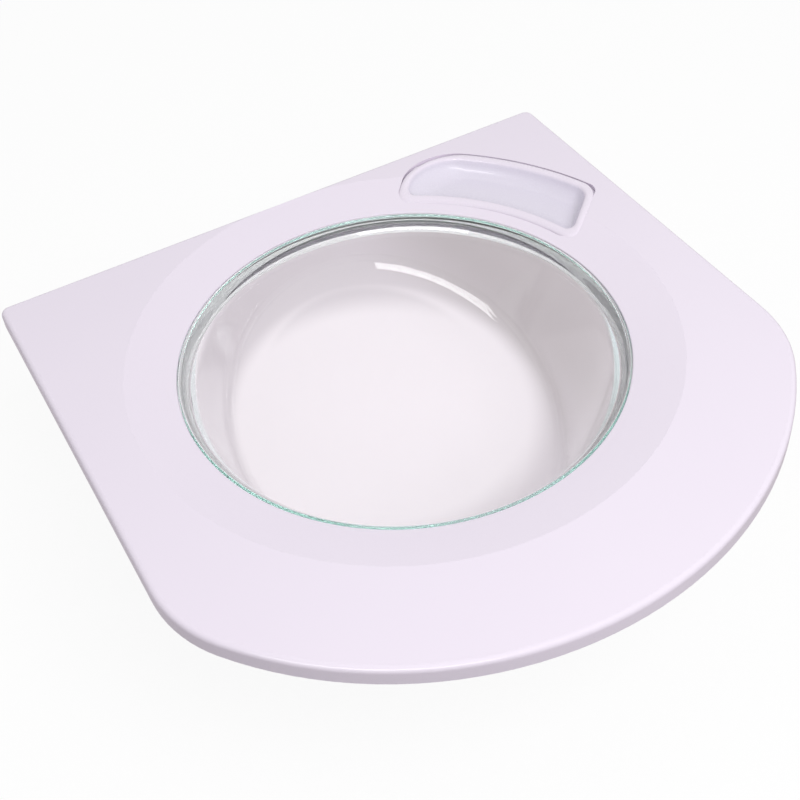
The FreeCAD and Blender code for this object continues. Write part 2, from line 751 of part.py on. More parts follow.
leaf_holes = new_sketch(leaf, "XY_Plane", frame_back)
for x, y in leaf_spots:
    add_circle(leaf_holes, x, y, free_radius)
pocket(leaf, leaf_holes, dim.leaf_wall)
fillet(leaf, dim.leaf_edge, lambda edge: is_upright(edge)
       and abs(abs(edge.CenterOfMass.y) - dim.leaf_wing.value) < snap)

# Hinge bracket: bolted plate with two arms that reach the axis behind the cover's left edge.
bracket = new_body("hinge_bracket")
base_left = axis_x + dim.plate_offset
base_right = base_left + dim.plate_width
base_half = dim.bolt_pitch / 2 + dim.plate_margin
base = add_rectangle(new_sketch(bracket, "XY_Plane"), base_left, -base_half, base_right, base_half)
pad(bracket, base, dim.plate_wall)
fillet(bracket, dim.plate_corner, is_upright)
leg_right = -(frame_radius + dim.leg_gap)
leg_left = leg_right - dim.leg_wall
arm_inner = dim.leaf_half + dim.bush_flange + dim.end_play
arm_outer = arm_inner + dim.arm_width
for start in (-arm_outer, arm_inner):
    arm = add_polygon(new_sketch(bracket, "XZ_Plane", start), [
        (axis_x, axis_level - dim.arm_wall / 2), (leg_left, axis_level - dim.arm_wall / 2),
        (leg_left, dim.plate_wall / 2), (leg_right, dim.plate_wall / 2),
        (leg_right, axis_level + dim.arm_wall / 2), (axis_x, axis_level + dim.arm_wall / 2)])
    pad(bracket, arm, dim.arm_width)
    eye = add_circle(new_sketch(bracket, "XZ_Plane", start), axis_x, axis_level, dim.barrel_radius)
    pad(bracket, eye, dim.arm_width)
fillet(bracket, dim.arm_wall / 4, lambda edge: abs(edge.CenterOfMass.x - leg_right.value) < snap
       and abs(edge.CenterOfMass.z - (axis_level + dim.arm_wall / 2).value) < snap)
eye_bore = new_sketch(bracket, "XZ_Plane", -arm_outer)
add_circle(eye_bore, axis_x, axis_level, dim.pin_radius + dim.pin_fit)
pocket(bracket, eye_bore, arm_outer * 2, reverse=True)
bolts = new_sketch(bracket, "XY_Plane", dim.plate_wall)
bolt_x = (base_left + base_right) / 2
for along in (-1, 1):
    for across in (-1, 1):
        add_circle(bolts, bolt_x + dim.bolt_spread * along / 2, dim.bolt_pitch * across / 2, dim.bolt_radius)
pocket(bracket, bolts, dim.plate_wall)

# Hinge pin, its clip and the two flanged bushes, each about its own Y axis.
pin = new_body("hinge_pin", (axis_x, 0, axis_level))
head_low = arm_outer + dim.pin_fit
clip_top = -(arm_outer + dim.end_play)
clip_low = clip_top - dim.clip_wall
groove_radius = dim.pin_radius - dim.clip_groove
groove_top = clip_top + dim.end_play / 2
groove_low = clip_low - dim.end_play / 2
pin_low = -(arm_outer + dim.pin_tail)
turn(pin, [(0, pin_low), (dim.pin_radius, pin_low), (dim.pin_radius, groove_low), (groove_radius, groove_low),
           (groove_radius, groove_top), (dim.pin_radius, groove_top),
           (dim.pin_radius, head_low), (dim.pin_head, head_low), (dim.pin_head, head_low + dim.pin_cap),
           (0, head_low + dim.pin_cap)], role="XY_Plane")
clip = new_body("pin_clip", (axis_x, 0, axis_level))
ring = add_circle(new_sketch(clip, "XZ_Plane", -clip_top), 0, 0, dim.pin_radius + dim.clip_reach)
add_circle(ring, 0, 0, groove_radius + dim.pin_fit)
pad(clip, ring, dim.clip_wall)
mouth = new_sketch(clip, "XZ_Plane", -clip_top)
mouth_far = dim.pin_radius + dim.clip_reach * 2
add_rectangle(mouth, groove_radius / 2, -dim.clip_mouth / 2, mouth_far, dim.clip_mouth / 2)
pocket(clip, mouth, dim.clip_wall, reverse=True)
for label, side in (("upper_bush", 1), ("lower_bush", -1)):
    bush = new_body(label, (axis_x, 0, axis_level))
    bush_inner = dim.pin_radius + dim.bush_play
    bush_end = (dim.leaf_half - dim.bush_length) * side
    turn(bush, [(bush_inner, bush_end), (bush_outer, bush_end), (bush_outer, dim.leaf_half * side),
                (dim.barrel_radius, dim.leaf_half * side),
                (dim.barrel_radius, (dim.leaf_half + dim.bush_flange) * side),
                (bush_inner, (dim.leaf_half + dim.bush_flange) * side)], role="XY_Plane")

# Latch carrier: plate under the frame with two ears that hold the axle.
carrier = new_body("latch_plate")
carrier_left = latch_x - dim.latch_width / 2
plate = new_sketch(carrier, "XY_Plane", latch_back)
add_rectangle(plate, carrier_left, -dim.latch_half, box_right, dim.latch_half)
pad(carrier, plate, dim.latch_wall)
ear_top = latch_level + dim.latch_ear
for start in (-dim.ear_half - dim.ear_wall, dim.ear_half):
    ear = new_sketch(carrier, "XZ_Plane", start)
    add_rectangle(ear, latch_x - dim.latch_ear, latch_back, latch_x + dim.latch_ear, ear_top)
    pad(carrier, ear, dim.ear_wall)
fillet(carrier, dim.latch_ear / 2, lambda edge: edge.BoundBox.YLength > snap and edge.BoundBox.XLength < snap
       and abs(edge.BoundBox.ZMax - ear_top.value) < snap and edge.BoundBox.ZLength < snap)
gate = new_sketch(carrier, "XY_Plane", latch_back)
add_rectangle(gate, latch_x - dim.latch_slot / 2, -dim.ear_half, latch_x + dim.latch_slot / 2, dim.ear_half)
pocket(carrier, gate, dim.latch_wall, reverse=True)
carrier_holes = new_sketch(carrier, "XY_Plane", frame_back)
for x, y in latch_spots:
    add_circle(carrier_holes, x, y, free_radius)
pocket(carrier, carrier_holes, dim.latch_wall)
ear_outer = dim.ear_half + dim.ear_wall
ear_bore = new_sketch(carrier, "XZ_Plane", -ear_outer)
add_circle(ear_bore, latch_x, latch_level, dim.axle_radius + dim.pin_fit)
pocket(carrier, ear_bore, ear_outer * 2, reverse=True)

# Latch axle, hook and spring.
axle = new_body("latch_pin", (latch_x, 0, latch_level))
axle_end = ear_outer + dim.pin_fit
axle_tip = axle_end + dim.axle_cap
turn(axle, [(0, -axle_tip), (dim.axle_head, -axle_tip), (dim.axle_head, -axle_end),
            (dim.axle_radius, -axle_end), (dim.axle_radius, axle_end), (dim.axle_head, axle_end),
            (dim.axle_head, axle_tip), (0, axle_tip)], role="XY_Plane")
hook = new_body("latch_hook", (latch_x, 0, latch_level))
hook_start = dim.hook_side - dim.ear_half
shank_half = dim.hook_shank / 2
nose_top = dim.hook_catch - dim.hook_length
nose_level = nose_top - dim.hook_nose / 2
shape = add_polygon(new_sketch(hook, "XZ_Plane", -(hook_start + dim.hook_width)), [
    (-shank_half, 0), (-shank_half, dim.hook_nose / 2 - dim.hook_length), (-shank_half / 3, -dim.hook_length),
    (shank_half + dim.hook_nose, nose_level), (shank_half + dim.hook_nose, nose_top), (shank_half, nose_top),
    (shank_half, 0)])
pad(hook, shape, dim.hook_width)
barrel = new_sketch(hook, "XZ_Plane", -(hook_start + dim.hook_width))
pad(hook, add_circle(barrel, 0, 0, dim.hook_barrel), dim.hook_width)
hook_bore = new_sketch(hook, "XZ_Plane", -(hook_start + dim.hook_width))
pocket(hook, add_circle(hook_bore, 0, 0, dim.axle_radius + dim.bush_play), dim.hook_width, reverse=True)
fillet(hook, dim.hook_side, lambda edge: edge.BoundBox.YLength > dim.hook_side.value
       and edge.CenterOfMass.z < latch_level.value - dim.hook_side.value
       and edge.BoundBox.XLength < snap and edge.BoundBox.ZLength < snap)
spring = new_body("latch_spring", (latch_x, 0, latch_level))
coil_start = hook_start + dim.hook_width + dim.spring_wire * 2
wire = add_circle(new_sketch(spring, "XY_Plane"), dim.spring_radius, coil_start, dim.spring_wire)
coil = spring.newObject("PartDesign::AdditiveHelix", "latch_spring_coil")
coil.Profile = wire
coil.ReferenceAxis = (wire, ["V_Axis"])
coil.Mode = "pitch-turns-angle"
bind(coil, "Pitch", dim.spring_pitch)
bind(coil, "Turns", dim.spring_turns)
doc.recompute()
coil_end = coil_start + dim.spring_pitch * dim.spring_turns
for level, reverse in ((coil_start, True), (coil_end, False)):
    leg = add_circle(new_sketch(spring, "XY_Plane"), dim.spring_radius, level, dim.spring_wire)
    pad(spring, leg, dim.spring_leg, reverse=reverse)

nodes = [cover, cup, glass, seal, frame, frame_screws, leaf, bracket, pin, clip, carrier, axle, hook, spring]
for label in ("leaf_screws", "latch_screws", "handle_screws", "upper_bush", "lower_bush"):
    nodes.append(doc.getObjectsByLabel(label)[0])
doc.recompute()
for item in doc.Objects:
    if "Invalid" in item.State or "Error" in item.State:
        raise RuntimeError("%s failed" % item.Label)
for node in nodes:
    if node.Shape.isNull() or not node.Shape.isValid():
        raise RuntimeError("%s has no valid shape" % node.Label)
os.makedirs("parts", exist_ok=True)
for node in nodes:
    node.Shape.exportStep("parts/%s.step" % node.Label)
    print(node.Label, len(node.Shape.Solids), round(node.Shape.Volume))
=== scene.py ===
import math

import bmesh
import bpy
from mathutils import Matrix, Vector


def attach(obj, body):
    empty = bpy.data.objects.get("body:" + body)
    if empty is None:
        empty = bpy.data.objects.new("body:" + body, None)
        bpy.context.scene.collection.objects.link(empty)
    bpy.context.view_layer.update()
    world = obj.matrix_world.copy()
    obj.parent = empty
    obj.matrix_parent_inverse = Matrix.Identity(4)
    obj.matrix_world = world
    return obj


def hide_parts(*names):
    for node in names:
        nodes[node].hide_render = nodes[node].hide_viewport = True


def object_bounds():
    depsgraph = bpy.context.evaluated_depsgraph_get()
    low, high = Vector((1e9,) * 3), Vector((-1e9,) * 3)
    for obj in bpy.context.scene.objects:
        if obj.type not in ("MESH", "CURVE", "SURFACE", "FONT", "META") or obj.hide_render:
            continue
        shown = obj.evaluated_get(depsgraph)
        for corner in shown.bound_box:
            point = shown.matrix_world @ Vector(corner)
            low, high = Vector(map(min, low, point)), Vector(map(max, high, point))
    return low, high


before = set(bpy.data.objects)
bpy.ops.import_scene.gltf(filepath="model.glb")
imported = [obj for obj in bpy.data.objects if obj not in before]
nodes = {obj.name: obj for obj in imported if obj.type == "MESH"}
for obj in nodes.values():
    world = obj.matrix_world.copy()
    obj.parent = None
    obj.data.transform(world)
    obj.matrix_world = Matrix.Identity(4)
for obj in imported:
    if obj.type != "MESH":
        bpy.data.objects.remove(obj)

cadBox = [list(corner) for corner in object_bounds()]
mm = 0.001
mergeLimit = 1e-7
print("frame loaded", len(nodes), "nodes")


# small helpers for modelling rings in edit mode
def deselectAll():
    if bpy.context.object and bpy.context.object.mode != "OBJECT":
        bpy.ops.object.mode_set(mode="OBJECT")
    bpy.ops.object.select_all(action="DESELECT")


def shapeRing(piece, ring):
    mesh = bmesh.from_edit_mesh(piece.data)
    spot = mesh.verts.layers.int["spot"]
    for vert in mesh.verts:
        if vert.select:
            vert.co = Vector(ring[vert[spot]]) * mm
    bmesh.update_edit_mesh(piece.data)


def startRing(name, ring):
    deselectAll()
    bpy.ops.mesh.primitive_circle_add(vertices=len(ring), radius=1.0)
    piece = bpy.context.object
    piece.name = name
    bpy.ops.object.mode_set(mode="EDIT")
    mesh = bmesh.from_edit_mesh(piece.data)
    spot = mesh.verts.layers.int.new("spot")
    mesh.verts.ensure_lookup_table()
    for index, vert in enumerate(mesh.verts):
        vert[spot] = index
    bmesh.update_edit_mesh(piece.data)
    bpy.ops.mesh.select_all(action="SELECT")
    shapeRing(piece, ring)
    return piece


# each ring is the last one extruded and moved to its new outline
def growRings(name, rings, capStart=False, capEnd=False):
    piece = startRing(name, rings[0])
    if capStart:
        bpy.ops.mesh.edge_face_add()
        bpy.ops.mesh.select_all(action="SELECT")
    for ring in rings[1:]:
        bpy.ops.mesh.extrude_edges_move()
        shapeRing(piece, ring)
    if capEnd:
        bpy.ops.mesh.edge_face_add()
    bpy.ops.mesh.select_all(action="SELECT")
    bpy.ops.mesh.remove_doubles(threshold=mergeLimit)
    bpy.ops.mesh.normals_make_consistent(inside=False)
    bpy.ops.object.mode_set(mode="OBJECT")
    piece.data.attributes.remove(piece.data.attributes["spot"])
    return piece


def smoothBy(piece, degrees):
    deselectAll()
    piece.select_set(True)
    bpy.context.view_layer.objects.active = piece
    bpy.ops.object.shade_smooth_by_angle(angle=math.radians(degrees))


# finishes
def newMaterial(name):
    material = bpy.data.materials.new(name)
    material.use_nodes = True
    tree = material.node_tree
    return material, tree, tree.nodes["Principled BSDF"]


def addNode(tree, kind, **values):
    node = tree.nodes.new(kind)
    for key, value in values.items():
        setattr(node, key, value)
    return node


# moulded skin: a fine grain for bump, slow changes of shade and gloss, and painted shade in crevices, where
# ambient occlusion darkens the colour
moulding = {"cloudDetail": 3.0, "grainDetail": 4.0, "grainRoughness": 0.55, "creviceReach": 0.003,
            "creviceSamples": 8, "creviceShadeTone": (0.22, 0.20, 0.24, 1), "bumpHeight": 0.0004,
            "coatRoughness": 0.12}


def makeMouldedSkin():
    group = bpy.data.node_groups.new("mouldedSkin", "ShaderNodeTree")
    face = group.interface
    for name in ("Grain Scale", "Cloud Scale", "Gloss Low", "Gloss High", "Crevice"):
        face.new_socket(name, in_out="INPUT", socket_type="NodeSocketFloat")
    for name in ("Light", "Dark"):
        face.new_socket(name, in_out="INPUT", socket_type="NodeSocketColor")
    face.new_socket("Color", in_out="OUTPUT", socket_type="NodeSocketColor")
    face.new_socket("Roughness", in_out="OUTPUT", socket_type="NodeSocketFloat")
    face.new_socket("Height", in_out="OUTPUT", socket_type="NodeSocketFloat")
    inside = addNode(group, "NodeGroupInput")
    outside = addNode(group, "NodeGroupOutput")
    coords = addNode(group, "ShaderNodeTexCoord")
    cloud = addNode(group, "ShaderNodeTexNoise")
    cloud.inputs["Detail"].default_value = moulding["cloudDetail"]
    grain = addNode(group, "ShaderNodeTexNoise")
    grain.inputs["Detail"].default_value = moulding["grainDetail"]
    grain.inputs["Roughness"].default_value = moulding["grainRoughness"]
    shade = addNode(group, "ShaderNodeMix", data_type="RGBA")
    gloss = addNode(group, "ShaderNodeMapRange")
    # painted shade: the colour darkens towards the crevice tone where ambient occlusion finds hidden gaps
    # and creases
    crevice = addNode(group, "ShaderNodeAmbientOcclusion", samples=moulding["creviceSamples"])
    crevice.inputs["Distance"].default_value = moulding["creviceReach"]
    hidden = addNode(group, "ShaderNodeMath", operation="SUBTRACT")
    hidden.inputs[0].default_value = 1.0
    shadeAmount = addNode(group, "ShaderNodeMath", operation="MULTIPLY", use_clamp=True)
    shadedColor = addNode(group, "ShaderNodeMix", data_type="RGBA")
    shadedColor.inputs["B"].default_value = moulding["creviceShadeTone"]
    link = group.links.new
    link(coords.outputs["Object"], cloud.inputs["Vector"])
    link(coords.outputs["Object"], grain.inputs["Vector"])
    link(inside.outputs["Cloud Scale"], cloud.inputs["Scale"])
    link(inside.outputs["Grain Scale"], grain.inputs["Scale"])
    link(cloud.outputs["Fac"], shade.inputs["Factor"])
    link(inside.outputs["Dark"], shade.inputs["A"])
    link(inside.outputs["Light"], shade.inputs["B"])
    link(grain.outputs["Fac"], gloss.inputs["Value"])
    link(inside.outputs["Gloss Low"], gloss.inputs["To Min"])
    link(inside.outputs["Gloss High"], gloss.inputs["To Max"])
    link(crevice.outputs["AO"], hidden.inputs[1])
    link(hidden.outputs["Value"], shadeAmount.inputs[0])
    link(inside.outputs["Crevice"], shadeAmount.inputs[1])
    link(shadeAmount.outputs["Value"], shadedColor.inputs["Factor"])
    link(shade.outputs["Result"], shadedColor.inputs["A"])
    link(shadedColor.outputs["Result"], outside.inputs["Color"])
    link(gloss.outputs["Result"], outside.inputs["Roughness"])
    link(grain.outputs["Fac"], outside.inputs["Height"])
    return group


mouldedSkin = makeMouldedSkin()


def skinMaterial(name, light, dark, gloss, grainScale, bump, metallic=0.0, coat=0.0, cloudScale=7.0,
                 crevice=0.0):
    material, tree, shader = newMaterial(name)
    skin = addNode(tree, "ShaderNodeGroup", node_tree=mouldedSkin)
    skin.inputs["Light"].default_value = (*light, 1)
    skin.inputs["Dark"].default_value = (*dark, 1)
    skin.inputs["Gloss Low"].default_value = gloss[0]
    skin.inputs["Gloss High"].default_value = gloss[1]
    skin.inputs["Grain Scale"].default_value = grainScale
    skin.inputs["Cloud Scale"].default_value = cloudScale
    skin.inputs["Crevice"].default_value = crevice
    relief = addNode(tree, "ShaderNodeBump")
    relief.inputs["Strength"].default_value = bump
    relief.inputs["Distance"].default_value = moulding["bumpHeight"]
    tree.links.new(skin.outputs["Color"], shader.inputs["Base Color"])
    tree.links.new(skin.outputs["Roughness"], shader.inputs["Roughness"])
    tree.links.new(skin.outputs["Height"], relief.inputs["Height"])
    tree.links.new(relief.outputs["Normal"], shader.inputs["Normal"])
    shader.inputs["Metallic"].default_value = metallic
    shader.inputs["Coat Weight"].default_value = coat
    shader.inputs["Coat Roughness"].default_value = moulding["coatRoughness"]
    return material


# the rim shows the cover's tone, and the well inside it a darker colour, painted shade for the recess
def paintWellShade(material, tone, attribute):
    tree = material.node_tree
    shader = tree.nodes["Principled BSDF"]
    inner = shader.inputs["Base Color"].links[0].from_socket
    wellShade = addNode(tree, "ShaderNodeAttribute", attribute_name=attribute)
    both = addNode(tree, "ShaderNodeMix", data_type="RGBA")
    both.inputs["A"].default_value = (*tone, 1)
    tree.links.new(wellShade.outputs["Fac"], both.inputs["Factor"])
    tree.links.new(inner, both.inputs["B"])
    tree.links.new(both.outputs["Result"], shader.inputs["Base Color"])


# clear soda glass, faintly green where it is thick; lamps shine through it
def glassMaterial(name, ior, tint, density):
    material, tree, shader = newMaterial(name)
    shader.inputs["Base Color"].default_value = (1.0, 1.0, 1.0, 1)
    shader.inputs["Roughness"].default_value = 0.0
    shader.inputs["IOR"].default_value = ior
    shader.inputs["Transmission Weight"].default_value = 1.0
    clear = addNode(tree, "ShaderNodeBsdfTransparent")
    path = addNode(tree, "ShaderNodeLightPath")
    mix = addNode(tree, "ShaderNodeMixShader")
    body = addNode(tree, "ShaderNodeVolumeAbsorption")
    body.inputs["Color"].default_value = (*tint, 1)
    body.inputs["Density"].default_value = density
    out = tree.nodes["Material Output"]
    tree.links.new(path.outputs["Is Shadow Ray"], mix.inputs["Fac"])
    tree.links.new(shader.outputs["BSDF"], mix.inputs[1])
    tree.links.new(clear.outputs["BSDF"], mix.inputs[2])
    tree.links.new(mix.outputs["Shader"], out.inputs["Surface"])
    tree.links.new(body.outputs["Volume"], out.inputs["Volume"])
    return material


def wear(nodeName, material):
    nodes[nodeName].data.materials.clear()
    nodes[nodeName].data.materials.append(material)


# crevice paints shade into the gaps and creases of the cover and the cup
coverFinish = skinMaterial("coverWhite", light=(0.88, 0.807, 0.912), dark=(0.85, 0.778, 0.888),
                           gloss=(0.24, 0.34), grainScale=1400.0, bump=0.02, coat=0.25, crevice=0.5)
# the cup's darker colour is painted shade for its recess; its rim is mixed back to the cover's tone
cupShadedFinish = skinMaterial("cupShadedWhite", light=(0.80, 0.76, 0.86), dark=(0.77, 0.73, 0.832),
                         gloss=(0.22, 0.32), grainScale=1400.0, bump=0.02, coat=0.25, crevice=0.5)
paintWellShade(cupShadedFinish, tone=(0.865, 0.793, 0.90), attribute="wellShade")
glassFinish = glassMaterial("pressedGlass", ior=1.52, tint=(0.55, 0.92, 0.84), density=3.0)
sealFinish = skinMaterial("sealRubber", light=(0.88, 0.88, 0.89), dark=(0.84, 0.84, 0.85),
                          gloss=(0.45, 0.65), grainScale=1800.0, bump=0.15)
frameFinish = skinMaterial("framePlastic", light=(0.84, 0.83, 0.85), dark=(0.80, 0.79, 0.81),
                           gloss=(0.42, 0.58), grainScale=1200.0, bump=0.12)
screwFinish = skinMaterial("zincScrew", light=(0.66, 0.67, 0.69), dark=(0.55, 0.56, 0.57),
                           gloss=(0.22, 0.42), grainScale=2500.0, bump=0.08, metallic=1.0, cloudScale=120.0)
leafFinish = skinMaterial("zincSheet", light=(0.62, 0.64, 0.66), dark=(0.50, 0.52, 0.54),
                          gloss=(0.26, 0.44), grainScale=900.0, bump=0.08, metallic=1.0, cloudScale=45.0)
castFinish = skinMaterial("castMetal", light=(0.50, 0.51, 0.53), dark=(0.42, 0.43, 0.45),
                          gloss=(0.38, 0.58), grainScale=700.0, bump=0.35, metallic=1.0, cloudScale=30.0)
pinFinish = skinMaterial("groundSteel", light=(0.64, 0.64, 0.66), dark=(0.56, 0.56, 0.58),
                         gloss=(0.16, 0.30), grainScale=3000.0, bump=0.05, metallic=1.0, cloudScale=60.0)
bushFinish = skinMaterial("bushPlastic", light=(0.72, 0.69, 0.60), dark=(0.66, 0.63, 0.54),
                          gloss=(0.38, 0.52), grainScale=1500.0, bump=0.08)

for nodeName, material in (
        ("front_panel", coverFinish), ("handle_cup", cupShadedFinish), ("door_glass", glassFinish),
        ("glass_seal", sealFinish), ("inner_frame", frameFinish), ("frame_screws", screwFinish),
        ("leaf_screws", screwFinish), ("latch_screws", screwFinish), ("handle_screws", screwFinish),
        ("hinge_leaf", leafFinish), ("latch_plate", leafFinish), ("upper_bush", bushFinish),
        ("lower_bush", bushFinish), ("latch_hook", castFinish), ("hinge_bracket", castFinish),
        ("latch_pin", pinFinish), ("latch_spring", pinFinish), ("hinge_pin", pinFinish),
        ("pin_clip", pinFinish)):
    wear(nodeName, material)
print("finishes on the frame")

# glass bowl: slices of a tapered wall and a slanted floor, mm
bowl = {"rimLevel": 31.0, "rimRadius": 154.4, "taper": 0.3, "depth": 110.8, "tilt": 27.4, "wall": 6.0,
        "round": 38.0, "innerRound": 29.0, "flare": 5.75, "flareDepth": 16.0,
        "beadRadius": 161.4, "beadEdge": 1.0, "crownLean": 0.5,
        "flangeRadius": 171.0, "flangeFront": 26.8, "flangeBack": 19.8, "flangeRound": 1.0, "flangeMid": 0.3,
        "neck": ((0.0, 0.6), (0.2, 0.15), (0.6, 0.0)), "foot": ((1.5, 0.0), (0.4, 0.4)), "footDrop": 1.5,
        "floorShares": (0.02, 0.2, 0.4, 0.6, 0.8, 0.93), "turns": 224, "filletSteps": 16, "wallSteps": 18,
        "edgeSteps": 8, "smooth": 50}


def bowlSlice(turn, grow, drop, rounding):
    slope = math.tan(math.radians(bowl["tilt"])) * math.sin(turn)
    taper = bowl["taper"]
    top = bowl["rimRadius"] + grow
    deep = bowl["depth"] + drop
    cornerR = (top - taper * deep) / (1 - taper * slope)
    corner = Vector((cornerR, deep - slope * cornerR))
    up = Vector((taper, -1.0)).normalized()
    inward = Vector((-1.0, slope)).normalized()
    half = math.acos(up.dot(inward)) / 2
    reach = rounding / math.tan(half)
    middle = corner + (up + inward).normalized() * rounding / math.sin(half)
    return corner + inward * reach, corner + up * reach, middle


def bowlSpot(turn, radius, depth):
    return radius * math.cos(turn), radius * math.sin(turn), bowl["rimLevel"] - depth


# the inner skin opens out to a narrow rim
def rimFlare(depth):
    return bowl["flare"] * max(0.0, 1 - depth / bowl["flareDepth"]) ** 2


# one skin, from the middle of the floor over the fillet and up the wall
def bowlRings(grow, drop, rounding, topDepth, flared=False):
    turns = [2 * math.pi * index / bowl["turns"] for index in range(bowl["turns"])]
    slices = [bowlSlice(turn, grow, drop, rounding) for turn in turns]
    deep = bowl["depth"] + drop
    tilt = math.tan(math.radians(bowl["tilt"]))
    rings = []
    for share in bowl["floorShares"]:
        ring = []
        for turn, (foot, shoulder, middle) in zip(turns, slices):
            radius = foot.x * share
            ring.append(bowlSpot(turn, radius, deep - tilt * math.sin(turn) * radius))
        rings.append(ring)
    for step in range(bowl["filletSteps"] + 1):
        share = step / bowl["filletSteps"]
        ring = []
        for turn, (foot, shoulder, middle) in zip(turns, slices):
            start = foot - middle
            span = start.angle_signed(shoulder - middle)
            spot = middle + Matrix.Rotation(-span * share, 2) @ start
            ring.append(bowlSpot(turn, spot.x, spot.y))
        rings.append(ring)
    for step in range(1, bowl["wallSteps"] + 1):
        share = 1 - (1 - step / bowl["wallSteps"]) ** 2  # closer rings near the rim
        ring = []
        for turn, (foot, shoulder, middle) in zip(turns, slices):
            depth = shoulder.y + (topDepth - shoulder.y) * share
            radius = bowl["rimRadius"] + grow - bowl["taper"] * depth
            ring.append(bowlSpot(turn, radius + rimFlare(depth) * flared, depth))
        rings.append(ring)
    return rings


def roundRing(radius, depth):
    return [bowlSpot(2 * math.pi * index / bowl["turns"], radius, depth) for index in range(bowl["turns"])]


def makeBowl():
    across = bowl["wall"] * math.hypot(1, bowl["taper"])
    drop = bowl["wall"] / math.cos(math.radians(bowl["tilt"]))
    edge = bowl["beadEdge"]
    rings = bowlRings(0.0, 0.0, bowl["innerRound"], edge, flared=True)
    # over the bead
    crown = bowl["rimRadius"] + rimFlare(edge) - bowl["taper"] * edge * bowl["crownLean"] + edge
    outer = bowl["beadRadius"] - edge
    steps = bowl["edgeSteps"]
    for step in range(1, steps + 1):
        angle = math.radians(90 * step / steps)
        rings.append(roundRing(crown - edge * math.cos(angle), edge - edge * math.sin(angle)))
    for step in range(0, steps + 1):
        angle = math.radians(90 * step / steps)
        rings.append(roundRing(outer + edge * math.sin(angle), edge - edge * math.cos(angle)))
    # round the flange
    front = bowl["rimLevel"] - bowl["flangeFront"]
    back = bowl["rimLevel"] - bowl["flangeBack"]
    corner = bowl["flangeRound"]
    mid = corner * bowl["flangeMid"]
    for out, before in bowl["neck"]:
        rings.append(roundRing(bowl["beadRadius"] + out, front - before))
    for inset, level in ((corner, front), (mid, front + mid), (0.0, front + corner),
                         (0.0, back - corner), (mid, back - mid), (corner, back)):
        rings.append(roundRing(bowl["flangeRadius"] - inset, level))
    # the outer skin, back to the middle of the floor
    outerTop = bowl["rimRadius"] + across - bowl["taper"] * back
    for out, below in bowl["foot"]:
        rings.append(roundRing(outerTop + out, back + below))
    rings += bowlRings(across, drop, bowl["round"] + bowl["wall"], back + bowl["footDrop"])[::-1]
    piece = growRings("bowlGlass", rings, capStart=True, capEnd=True)
    smoothBy(piece, bowl["smooth"])
    piece.data.materials.append(glassFinish)
    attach(piece, "door")
    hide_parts("door_glass")
    return piece


bowlGlass = makeBowl()
print("glass bowl", len(bowlGlass.data.polygons), "faces")

# finger grip: loops from the gap round its rim, over a soft bead, down to the floor, mm
# bead: inset and rise over the cover; wallRings: inset, share of the slopes, share of the depth
# lugs: degrees round the glass, side that reaches the cup, reach
grip = {"inner": 172.0, "width": 60.0, "right": 10.5, "rightLean": 8.0, "left": 62.5, "leftLean": 4.5,
        "round": 11.0, "sweep": 50.0, "sweepLimit": 0.72, "roundLimit": 0.22, "roundEase": 4.0,
        "cornerPull": 0.55, "slopes": (15.5, 8.5, 7.0, 28.0), "floor": 26.5, "wall": 2.2,
        "face": 40.0, "lip": 31.0, "dishSlope": 0.25, "opening": 162.0,
        "endSteps": 14, "arcSteps": 44, "cornerSteps": 12,
        "bead": ((-4.0, -3.4), (0.0, -3.4), (0.25, -3.0), (0.25, -1.6), (0.4, -0.95), (0.8, -0.35),
                 (1.45, 0.2), (2.25, 0.65), (3.2, 0.95), (4.3, 1.1), (5.3, 1.05), (6.2, 0.85), (6.9, 0.5)),
        "wallRings": ((7.4, 0.005, 0.015), (7.75, 0.01, 0.07), (7.95, 0.02, 0.15), (8.05, 0.03, 0.24),
                      (8.15, 0.06, 0.34), (8.25, 0.11, 0.45), (8.35, 0.18, 0.56), (8.45, 0.27, 0.67),
                      (8.5, 0.38, 0.77), (8.55, 0.51, 0.86), (8.6, 0.65, 0.925), (8.6, 0.80, 0.97),
                      (8.6, 0.94, 0.993), (9.4, 1.0, 1.0)),
        "wellShadeDepth": 0.12, "smooth": 40, "lugCircle": 209.0, "lugs": ((12.144, 1, 16.5), (63.015, -1, 26.0)),
        "lugRadius": 6.0, "lugLow": 25.5, "lugWall": 3.0, "lugRound": 0.4, "lugSides": 40, "lugBevels": 2}


def polarSpot(radius, degrees):
    return Vector((radius * math.cos(math.radians(degrees)), radius * math.sin(math.radians(degrees))))


